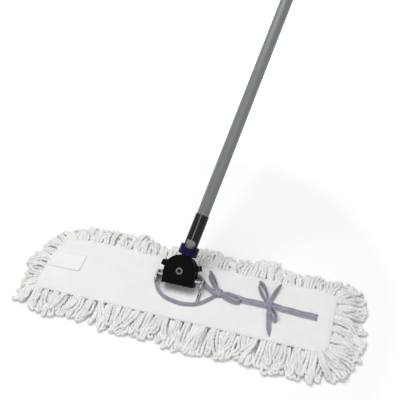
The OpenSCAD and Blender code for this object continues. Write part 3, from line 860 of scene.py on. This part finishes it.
def loop_lines(lay, roots, outs, layer, yarn):
    """Middle lines of a layer's loops, from the root out round the end and back, and the run along each."""
    inset = SEWN_L + lay.lap
    root = layer["root"] * MM + lay.lap
    straight = lay.reach + inset - lay.end_r
    whole = 2 * straight + math.pi * lay.end_r
    run = np.linspace(0, 1, LOOP_RINGS)[None, :] * whole
    turn = np.clip((run - straight) / lay.end_r, 0, math.pi)
    back = run > straight + math.pi * lay.end_r
    out = np.where(turn > 0, straight + lay.end_r * np.sin(turn), run)
    out = np.where(back, whole - run, out) - inset
    aside = -lay.end_r * np.cos(turn)
    far = np.clip(out / lay.reach, 0, 1)

    # The loop narrows to its root, waves and leans more with distance
    bend = lay.lean * far**0.8
    across = aside * (0.75 + 0.25 * far) * np.cos(lay.roll)
    across = across + lay.wave * np.sin(2.4 * math.pi * far + lay.phase) * far
    forward = out * np.cos(bend) - across * np.sin(bend)
    sideways = out * np.sin(bend) + across * np.cos(bend)
    side = np.stack([-outs[:, 1], outs[:, 0]], axis=1)
    plan = roots[:, None, :] + outs[:, None, :] * forward[..., None] + side[:, None, :] * sideways[..., None]

    # The loop falls from root to tip, with its roll, its arch and small waves, down to the floor at most
    fall = (1 - far**1.5) ** 1.25
    height = (
        lay.tip + (root - lay.tip) * fall + aside * np.sin(lay.roll) * far + lay.arch * np.sin(math.pi * far)
        + SMALL_WAVE * np.sin(3.1 * math.pi * far + 1.7 * lay.phase) * far
    )
    height = height - yarn.root_dip * np.clip((-out - lay.lap) / SEWN_L, 0, 1)
    height = np.maximum(height, (1 + PLY_SWELL) * (yarn.strand_d / 2))
    return np.concatenate([plan, height[..., None]], axis=2), run


def strand_rings(line, aim, angle, radius):
    """Rings of points round many lines, as (lines, rings, sides, 3), at angles from square to an aim."""
    ahead = unit(np.gradient(line, axis=1))
    level = unit(np.cross(ahead, aim))
    upright = np.cross(level, ahead)
    cos, sin = np.cos(angle)[..., None], np.sin(angle)[..., None]
    return line[:, :, None, :] + radius * (cos * level[:, :, None, :] + sin * upright[:, :, None, :])


def loop_rings(roots, outs, reach, layer, yarn, rng):
    """Rings of points round the two-ply strands of a layer's loops."""
    lay = loop_lay(roots, outs, reach, layer, yarn, rng)
    line, run = loop_lines(lay, roots, outs, layer, yarn)
    lobe = np.linspace(0, 2 * math.pi, STRAND_SIDES, endpoint=False)
    twist = 2 * math.pi * run / yarn.twist + lay.phase
    radius = yarn.strand_d / 2 * (1 + PLY_SWELL * np.cos(2 * lobe))
    return strand_rings(line, UP, lobe + twist[..., None], radius[:, None])


def strand_faces(loops, rings, sides):
    """Faces of many strands of the same size, with closed ends."""
    i = np.arange(rings - 1)[:, None] * sides
    j = np.arange(sides)[None, :]
    k = (j + 1) % sides
    one = np.stack([i + j, i + sides + j, i + sides + k, i + k], axis=-1).reshape(-1, 4)
    first = np.arange(loops)[:, None, None] * (rings * sides)
    faces = (one[None] + first).reshape(-1, 4).tolist()
    start = np.arange(sides)
    for loop in range(loops):
        base = loop * rings * sides
        faces.append((base + start).tolist())
        faces.append((base + (rings - 1) * sides + start[::-1]).tolist())
    return faces


def yarn_piece(name, replaced, rings, yarn, rng):
    """Makes strands into one yarn piece, with a tone of its own for each strand."""
    count, rows, sides = rings.shape[:3]
    material = shared("cotton_yarn", yarn_material, yarn)
    piece = new_object(name, rings.reshape(-1, 3), strand_faces(count, rows, sides), material, recalc=False)
    add_attribute(piece, "tone", rng.uniform(0, 1, count).repeat(rows * sides))
    settle(piece, "yarn", replaced)


class DUSTMOP_OT_fringe(bpy.types.Operator):
    """Makes the looped yarn fringe on all four sides and at the corners"""

    bl_idname = "dustmop.fringe"
    bl_label = "Yarn Fringe"

    def execute(self, context):
        yarn = context.scene.dustmop_yarn
        rng = np.random.default_rng(yarn.seed)
        made = {}
        for index, layer in enumerate(FRINGE_LAYERS):
            offset = (FIRST_PLACE + LAYER_SHIFT * index) % 1
            roots, outs, reach = fringe_roots(yarn.loop_pitch * layer["every"], offset, rng)
            rings = loop_rings(roots, outs, reach, layer, yarn, rng)
            sides = fringe_sides(outs)
            for side in np.unique(sides):
                made.setdefault(str(side), []).append(rings[sides == side])
        for side, layers in made.items():
            yarn_piece(f"fringe_loops_{side}", f"fringe_{side}", np.concatenate(layers), yarn, rng)
        return {"FINISHED"}


PILE_INSET = 0.003
PILE_STEP = 0.003
PILE_SIDES = 6
PILE_RINGS = 170
# Spacing of the pile's rows in strands, length of its waves, and how far they swing sideways
ROW_PITCH = 1.15
PILE_WAVE = 0.017
PILE_SWING = 0.0012


def row_ends(outline, y):
    """Least and greatest X where a closed outline crosses a row."""
    a = outline
    b = np.roll(outline, -1, axis=0)
    cross = (a[:, 1] > y) != (b[:, 1] > y)
    x = a[cross, 0] + (y - a[cross, 1]) * (b[cross, 0] - a[cross, 0]) / (b[cross, 1] - a[cross, 1])
    return x.min(), x.max()


class DUSTMOP_OT_pile(bpy.types.Operator):
    """Makes the rows of looped yarn below the base canvas"""

    bl_idname = "dustmop.pile"
    bl_label = "Yarn Pile"

    def execute(self, context):
        yarn = context.scene.dustmop_yarn
        low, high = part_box("yarn_pile")
        rng = np.random.default_rng(yarn.seed + 1)
        strand_r = yarn.strand_d / 2
        outline = cover_outline(PILE_STEP, PILE_INSET)
        front, rear = outline[:, 1].min(), outline[:, 1].max()
        rows = int((rear - front) / (ROW_PITCH * yarn.strand_d))
        row_y = np.linspace(front + strand_r, rear - strand_r, rows)[:, None]
        ends = np.array([row_ends(outline, y) for y in row_y[:, 0]])
        x = ends[:, :1] + np.linspace(0, 1, PILE_RINGS)[None, :] * (ends[:, 1:] - ends[:, :1])
        swing = 2 * math.pi * x / PILE_WAVE + rng.uniform(0, 2 * math.pi, (rows, 1))
        y = row_y + PILE_SWING * np.cos(swing * 0.5)
        middle = (low.z + high.z) / 2
        z = middle + (middle - low.z - 1.5 * strand_r) * np.sin(swing)
        angle = np.linspace(0, 2 * math.pi, PILE_SIDES, endpoint=False)
        rings = strand_rings(np.stack([x, y, z], axis=-1), (0, 1, 0), angle, strand_r)
        yarn_piece("pile_loops", "yarn_pile", rings, yarn, rng)
        return {"FINISHED"}


TAPE_STEP = 0.004
# Angle in degrees by which the eye's tape is tipped up, with what the front adds and the rear takes away
EYE_TIP = 14
EYE_TIP_FRONT = 26
EYE_TIP_REAR = 8
# Distance of each slit tape's middle from the slit, and the slant of the tapes' cut ends
SLIT_TAPE_SHIFT = 0.0036
SLIT_TAPE_SLANT = 0.003
# Tapes of the slit: side that each lies on, its height above the cover in millimetres and its slope
SLIT_TAPES = ((1, 0.9, 0.10), (-1, 1.9, 0.16))
# Ripples along the slit: height, length of a radian and phase
SLIT_RIPPLES = ((0.0007, 0.0135, 0.0), (0.0005, 0.0061, 1.0))


def eye_tape(canvas, tape):
    """The tape round the eye, tipped up at its inner edge, most at the front and least at the rear."""
    plan = eye_curve(TAPE_STEP)
    outward = np.column_stack([outwards(plan), np.zeros(len(plan))])
    outward *= np.sign(np.sum(outward[:, :2] * (plan - plan.mean(axis=0)), axis=1))[:, None]
    front = np.clip(-outward[:, 1], 0, 1)
    rear = np.clip(outward[:, 1], 0, 1)
    tip_up = np.radians(EYE_TIP + EYE_TIP_FRONT * front - EYE_TIP_REAR * rear)
    across = outward * np.cos(tip_up)[:, None] - np.sin(tip_up)[:, None] * UP
    rise = tape.binding_t / 2 + tape.eye_w / 2 * np.sin(tip_up)
    parts = Parts()
    add_tape(parts, lift(plan, canvas, rise), across, tape.eye_w, tape.binding_t, closed=True)
    return parts


def slit_tape(canvas, tape):
    """The two tapes of the slit, with soft ripples, one over the other at the slit."""
    slit = even_curve(SLIT_LINE, TAPE_STEP)
    ripple = sum(high * np.sin(slit[:, 0] / span + phase) for high, span, phase in SLIT_RIPPLES)
    parts = Parts()
    for side, above, slope in SLIT_TAPES:
        plan = slit + np.column_stack([np.zeros(len(slit)), side * SLIT_TAPE_SHIFT + 1.2 * ripple])
        line = lift(plan, canvas, above * MM + 0.3 * ripple)
        across = np.tile([0.0, side, -slope], (len(line), 1))
        add_tape(parts, line, across, tape.binding_w, 0.8 * tape.binding_t, slant=SLIT_TAPE_SLANT)
    return parts


class DUSTMOP_OT_tapes(bpy.types.Operator):
    """Makes the tape round the eye and the taped slit beside it"""

    bl_idname = "dustmop.tapes"
    bl_label = "Tapes"

    def execute(self, context):
        canvas = context.scene.dustmop_canvas
        tape = context.scene.dustmop_tape
        material = shared("grey_tape", tape_material, tape)
        settle(eye_tape(canvas, tape).build("eye_tape", material), "tape", "binding_front", "binding_rear")
        settle(slit_tape(canvas, tape).build("slit_tape", material), "tape", "slit_strip")
        return {"FINISHED"}


# Tied bows on the slit: the knot's middle in plan and the tails' points in millimetres, with their heights
# above the cover, the knot's width, length and height and the loops' sizes in metres, and angles in degrees
BOWS = [
    {
        "piece": "inner_tie_bow", "replaces": "inner_bow",
        "knot": (84, -8), "size": (0.0115, 0.0170, 0.0075),
        "loops": [
            {"angle": 125, "loop_l": 0.051, "half_w": 0.0036, "lean": 38, "rise": 0.003},
            {"angle": -13, "loop_l": 0.047, "half_w": 0.0058, "lean": 50, "rise": 0.0},
        ],
        "tails": [],
    },
    {
        "piece": "outer_tie_bow", "replaces": "outer_bow",
        "knot": (187, -9), "size": (0.0120, 0.0175, 0.0080),
        "loops": [
            {"angle": 122, "loop_l": 0.052, "half_w": 0.0054, "lean": 36, "rise": 0.004},
            {"angle": -60, "loop_l": 0.041, "half_w": 0.0044, "lean": 40, "rise": 0.0},
        ],
        "tails": [
            {"points": [(188, -3, 4), (192, 14, 7), (197, 30, 9), (202, 44, 8)], "roll": (35, 65)},
            {"points": [(188, -14, 4), (192, -34, 4), (197, -56, 3), (202, -80, 2.5)], "roll": (12, -18)},
        ],
    },
]
# Wrapped turns of a knot: angle in degrees, shift in metres, and shares of the knot's height and width
KNOT_TURNS = ((78, 0.0, 1.0, 1.0), (118, 0.0012, 0.86, 0.8), (48, -0.0014, 0.8, 0.75))
KNOT_STEPS = 28
# Height of a knot's underside above the cover
KNOT_RISE = 0.001
TIE_STEP = 0.003
TIE_LOOP_STEPS = 44
# Angle of a loop's drop shape that its ends leave open at the knot, and the shape's scale to its half width
DROP_START = 0.22
DROP_SCALE = 1.3


def tie_loop(parts, canvas, tape, knot, angle, loop_l, half_w, lean, rise):
    """Adds a drop-shaped loop of tie tape that stands on its edge, leans to the rear and rises to its end."""
    t = np.linspace(DROP_START, 2 * math.pi - DROP_START, TIE_LOOP_STEPS)
    out = loop_l * (1 - np.cos(t)) / 2
    aside = half_w * DROP_SCALE * np.sin(t) * np.sin(t / 2)
    a = math.radians(angle)
    far = out / loop_l
    lean = math.radians(lean)
    width = tape.tie_w * (0.6 + 0.4 * np.clip(far * 2.2, 0, 1))
    plan = np.array(knot) + np.column_stack([
        out * math.cos(a) - aside * math.sin(a), out * math.sin(a) + aside * math.cos(a),
    ])
    above = tape.binding_t + width / 2 * math.cos(lean) + rise * far**1.3
    across = np.tile([0.0, math.sin(lean), math.cos(lean)], (len(t), 1))
    add_tape(parts, lift(plan, canvas, above), across, width, tape.tie_t, curl=0.0004)


def tie_tail(parts, canvas, tape, points, roll):
    """Adds a free end of tie tape along its points, which rolls over from one angle to another."""
    line = even_curve(points, TIE_STEP)
    line[:, 2] += cover_height(line[:, :2], canvas)
    ahead = directions(line)
    level = unit(np.cross(UP, ahead))
    turn = np.radians(np.linspace(roll[0], roll[1], len(line)))[:, None]
    across = level * np.cos(turn) + np.cross(ahead, level) * np.sin(turn)
    share = np.interp(np.linspace(0, 1, len(line)), [0, 0.25, 0.8, 1], [0.6, 1, 1, 0.45])
    add_tape(parts, line, across, tape.tie_w * share, tape.tie_t, curl=0.0005, slant=0.006)


def tie_knot(parts, canvas, tape, knot, size):
    """Adds the wrapped turns of a knot over the slit."""
    swing = np.linspace(0, 2 * math.pi, KNOT_STEPS, endpoint=False)
    reach = size[1] / 2 * np.cos(swing)
    for turn, shift, rise, broad in KNOT_TURNS:
        a = math.radians(turn)
        plan = np.array(knot) + np.column_stack([shift + reach * math.cos(a), reach * math.sin(a)])
        line = lift(plan, canvas, KNOT_RISE + size[2] * rise * (0.5 + 0.5 * np.sin(swing)))
        across = np.tile([math.sin(a), -math.cos(a), 0.0], (len(line), 1))
        width = size[0] * broad * (0.8 + 0.2 * np.abs(np.cos(swing)))
        add_tape(parts, line, across, width, 2 * tape.tie_t, curl=-0.0006, closed=True)


class DUSTMOP_OT_bows(bpy.types.Operator):
    """Makes the two tied bows on the slit"""

    bl_idname = "dustmop.bows"
    bl_label = "Bows"

    def execute(self, context):
        canvas = context.scene.dustmop_canvas
        tape = context.scene.dustmop_tape
        material = shared("grey_tape", tape_material, tape)
        for bow in BOWS:
            parts = Parts()
            knot = np.array(bow["knot"]) * MM
            tie_knot(parts, canvas, tape, knot, bow["size"])
            for loop in bow["loops"]:
                tie_loop(parts, canvas, tape, knot, **loop)
            for tail in bow["tails"]:
                tie_tail(parts, canvas, tape, **tail)
            settle(parts.build(bow["piece"], material), "tape", bow["replaces"])
        return {"FINISHED"}


LABEL_STEP = 0.003
LABEL_T = 0.0006
LABEL_CORNER_R = 0.001
LABEL_CORNER_STEPS = 3
# Distance of the label's sewn line from its edge
LABEL_HEM = 0.004
# Height of the label above the cover, and how fast its loose corner rises
LABEL_RISE = 0.0010
LABEL_CURL = 0.006
# Shares of the label's length and width where its loose corner starts
LOOSE_FROM = 0.55
LOOSE_BELOW = 0.6
# Depth and width of the groove that the stitches pull into the label
GROOVE_DEPTH = 0.0003
GROOVE_W = 0.0012


def label_outline(inset=0.0):
    """Even points round the label in plan, with round corners, moved inwards by an inset."""
    low = LABEL_LOW + Vector((inset, inset, 0))
    high = LABEL_HIGH - Vector((inset, inset, 0))
    r = LABEL_CORNER_R
    turns = np.radians(np.linspace(0, 90, LABEL_CORNER_STEPS))
    middles = [
        (high.x - r, low.y + r, -90), (high.x - r, high.y - r, 0),
        (low.x + r, high.y - r, 90), (low.x + r, low.y + r, 180),
    ]
    arcs = []
    for x, y, start in middles:
        angle = math.radians(start) + turns
        arcs.append(np.stack([x + r * np.cos(angle), y + r * np.sin(angle)], axis=1))
    return even_steps(np.concatenate(arcs), LABEL_STEP, closed=True)


def label_edge(plan):
    """Distance of plan points from the label's edge, positive inside."""
    low = np.array(LABEL_LOW[:2])
    high = np.array(LABEL_HIGH[:2])
    q = np.abs(plan - (low + high) / 2) - ((high - low) / 2 - LABEL_CORNER_R)
    outside = np.linalg.norm(np.maximum(q, 0), axis=1)
    inside = np.minimum(q.max(axis=1), 0)
    return LABEL_CORNER_R - outside - inside


def label_rise(plan):
    """Height of the label above the cover; its front right corner curls up."""
    share = (plan - np.array(LABEL_LOW[:2])) / np.array((LABEL_HIGH - LABEL_LOW)[:2])
    corner = np.clip(share[:, 0] - LOOSE_FROM, 0, 1) * np.clip(LOOSE_BELOW - share[:, 1], 0, 1)
    return LABEL_RISE + LABEL_CURL * corner


class DUSTMOP_OT_label(bpy.types.Operator):
    """Makes the blank label that is sewn to the cover"""

    bl_idname = "dustmop.label"
    bl_label = "Blank Label"

    def execute(self, context):
        canvas = context.scene.dustmop_canvas
        plan, faces = cloth_faces(LABEL_STEP, label_outline())
        groove = GROOVE_DEPTH * np.exp(-((label_edge(plan) - LABEL_HEM) / GROOVE_W) ** 2)
        satin = canvas_material("label_satin", canvas.label_colour, LABEL_THREAD)
        made = new_object("blank_label", lift(plan, canvas, label_rise(plan) - groove), faces, satin)
        thicken(made, LABEL_T)
        settle(made, "label", "label_patch")

        seam = Parts()
        line = label_outline(LABEL_HEM)
        add_stitches(seam, lift(line, canvas, label_rise(line)), canvas, closed=True)
        settle(seam.build("label_stitches", shared("white_thread", thread_material, canvas)), "label")
        return {"FINISHED"}


BLOCK_NODES = ("front_shell", "rear_shell")
SLEEVE_NODES = ("swivel_socket", "handle_grip")
WIRE_NODES = (
    "front_rod", "rear_rod", "left_end_bow", "right_end_bow", "left_cross_rod", "right_cross_rod",
    "pivot_axle", "brace_rod",
)
WELD_GAP = 0.00002
BEVEL_ANGLE = math.radians(40)


def round_edges(part, width):
    """Welds a part's mesh and rounds its sharp edges."""
    weld = part.modifiers.new("weld", "WELD")
    weld.merge_threshold = WELD_GAP
    bevel = part.modifiers.new("rounded_edges", "BEVEL")
    bevel.width = width
    bevel.segments = 2
    bevel.limit_method = "ANGLE"
    bevel.angle_limit = BEVEL_ANGLE


class DUSTMOP_OT_hardware(bpy.types.Operator):
    """Finishes the hinge block, handle and wire frame"""

    bl_idname = "dustmop.hardware"
    bl_label = "Hardware"

    def execute(self, context):
        hardware = context.scene.dustmop_hardware
        black = plastic_material("black_moulding", hardware.black, 0.34, 0.52, 0.05)
        navy = plastic_material("navy_moulding", hardware.navy, 0.30, 0.45, 0.08)
        sleeve = plastic_material("sleeve_moulding", hardware.black, 0.28, 0.4, 0.22)
        chrome = metal_material("bright_wire", hardware.chrome, 1.0, 0.12, 0.22, Vector((1, 0, 0)), 500.0)
        steel = metal_material("screw_steel", hardware.steel, 1.0, 0.25, 0.4, Vector(UP), 300.0)
        rivet = metal_material("rivet_steel", hardware.steel, 1.0, 0.25, 0.4, Vector(UP), 300.0)
        # Painted shade: the rivet's hollow is darkened where shade falls in it
        paint_hollow_shade(rivet, RIVET_MIDDLE, RIVET_AXIS, hardware.painted_shade_r, hardware.hollow)
        tube = metal_material("satin_tube", hardware.tube, 0.35, 0.34, 0.5, HANDLE_AXIS, 420.0)
        # Painted highlight: a lighter colour on the tube's lower end
        paint_tube_end_highlight(tube, frame["nodes"]["handle_tube"], HANDLE_AXIS, hardware.highlight_l, hardware.highlight_colour)
        finishes = {
            **dict.fromkeys(BLOCK_NODES, black),
            **dict.fromkeys(SLEEVE_NODES, sleeve),
            **dict.fromkeys(WIRE_NODES, chrome),
            "lock_collar": navy, "handle_tube": tube, "pivot_rivet": rivet, "shell_screws": steel,
        }
        for name, material in finishes.items():
            part = frame["nodes"][name]
            part.data.materials.clear()
            part.data.materials.append(material)
            round_edges(part, hardware.bevel_w)
        return {"FINISHED"}


def in_view(tree):
    """Socket that is 1 for what the camera sees, straight or in a reflection or through glass."""
    path = node(tree, "ShaderNodeLightPath")
    seen = path.outputs["Is Camera Ray"]
    for name in ("Is Glossy Ray", "Is Transmission Ray"):
        seen = combine(tree, "MAXIMUM", seen, path.outputs[name])
    return seen


def floor_material(stage):
    """Pale floor that shows shadows near the mop and turns white with distance."""
    tree, shader, material = new_material(
        "pale_floor", Base_Color=(*stage.floor_colour, 1), Emission_Color=(1, 1, 1, 1),
        Roughness=1.0, Specular_IOR_Level=0.0,
    )
    away = distance(tree, node(tree, "ShaderNodeNewGeometry").outputs["Position"])
    white = ranged(
        tree, away, From_Min=stage.near, From_Max=stage.far, To_Min=stage.floor_glow, To_Max=1.0
    )
    tree.links.new(combine(tree, "MULTIPLY", in_view(tree), white), shader.inputs["Emission Strength"])
    return material


def studio_world(stage):
    """White surroundings that light the mop more from above than from the sides."""
    world = bpy.data.worlds.new("studio")
    world.use_nodes = True
    tree = world.node_tree
    way = node(tree, "ShaderNodeTexCoord").outputs["Generated"]
    height = node(tree, "ShaderNodeSeparateXYZ", Vector=way).outputs["Z"]
    room = ranged(tree, height, To_Min=stage.sides, To_Max=stage.sky)
    background = tree.nodes["Background"]
    background.inputs["Color"].default_value = (1, 1, 1, 1)
    tree.links.new(ranged(tree, in_view(tree), To_Min=room, To_Max=1.0), background.inputs["Strength"])
    return world


def soft_lamp(name, power, place, size):
    """Adds a large square lamp that looks at the mop's head."""
    lamp = bpy.data.lights.new(name, "AREA")
    lamp.energy = power
    lamp.size = size
    made = bpy.data.objects.new(name, lamp)
    made.location = place
    made.rotation_euler = (-made.location).to_track_quat("-Z", "Y").to_euler()
    bpy.context.scene.collection.objects.link(made)


def stage_camera(stage):
    """Adds the camera, which looks at its target from a distance."""
    lens = bpy.data.cameras.new("camera")
    lens.lens = stage.lens
    lens.sensor_width = 36
    lens.clip_end = 50
    camera = bpy.data.objects.new("camera", lens)
    level = math.cos(stage.elevation)
    back = Vector((
        math.sin(stage.azimuth) * level, -math.cos(stage.azimuth) * level, math.sin(stage.elevation),
    ))
    camera.location = Vector(stage.target) + back * stage.distance
    camera.rotation_euler = (-back).to_track_quat("-Z", "Y").to_euler()
    bpy.context.scene.collection.objects.link(camera)
    return camera


class DUSTMOP_OT_stage(bpy.types.Operator):
    """Makes the floor, the light and the camera"""

    bl_idname = "dustmop.stage"
    bl_label = "Stage"

    def execute(self, context):
        stage = context.scene.dustmop_stage
        half = stage.floor_size / 2
        corners = [(-half, -half, 0), (half, -half, 0), (half, half, 0), (-half, half, 0)]
        floor = new_object(
            "floor", corners, [(0, 1, 2, 3)], floor_material(stage), smooth=False, recalc=False
        )
        context.scene.world = studio_world(stage)
        soft_lamp("key", stage.key_power, stage.key_place, stage.lamp_size)
        soft_lamp("fill", stage.fill_power, stage.fill_place, stage.lamp_size)
        context.scene.camera = stage_camera(stage)
        context.scene.view_settings.view_transform = "Standard"
        return {"FINISHED"}


class DUSTMOP_PT_panel(bpy.types.Panel):
    """Lists the steps that dress the dust mop"""

    bl_idname = "DUSTMOP_PT_panel"
    bl_label = "Dust Mop"
    bl_space_type = "VIEW_3D"
    bl_region_type = "UI"
    bl_category = "Dust Mop"

    def draw(self, context):
        for step in STEPS:
            self.layout.operator(step.bl_idname)


STEPS = (
    DUSTMOP_OT_fringe, DUSTMOP_OT_pile, DUSTMOP_OT_base, DUSTMOP_OT_tapes, DUSTMOP_OT_bows, DUSTMOP_OT_label,
    DUSTMOP_OT_cover, DUSTMOP_OT_hardware, DUSTMOP_OT_stage,
)
SETTINGS = {
    "dustmop_canvas": CanvasSettings,
    "dustmop_yarn": YarnSettings,
    "dustmop_tape": TapeSettings,
    "dustmop_hardware": HardwareSettings,
    "dustmop_stage": StageSettings,
}


def register():
    """Registers the settings, the steps and the panel."""
    for name, group in SETTINGS.items():
        bpy.utils.register_class(group)
        setattr(bpy.types.Scene, name, PointerProperty(type=group))
    for step in (*STEPS, DUSTMOP_PT_panel):
        bpy.utils.register_class(step)


def unregister():
    """Takes the panel, the steps and the settings away again."""
    for step in (DUSTMOP_PT_panel, *reversed(STEPS)):
        bpy.utils.unregister_class(step)
    for name, group in SETTINGS.items():
        delattr(bpy.types.Scene, name)
        bpy.utils.unregister_class(group)


def main():
    """Dresses the mop."""
    register()
    bpy.ops.dustmop.fringe()
    bpy.ops.dustmop.pile()
    bpy.ops.dustmop.base()
    bpy.ops.dustmop.tapes()
    bpy.ops.dustmop.bows()
    bpy.ops.dustmop.label()
    bpy.ops.dustmop.cover()
    bpy.ops.dustmop.hardware()
    bpy.ops.dustmop.stage()


if __name__ == "__main__":
    main()
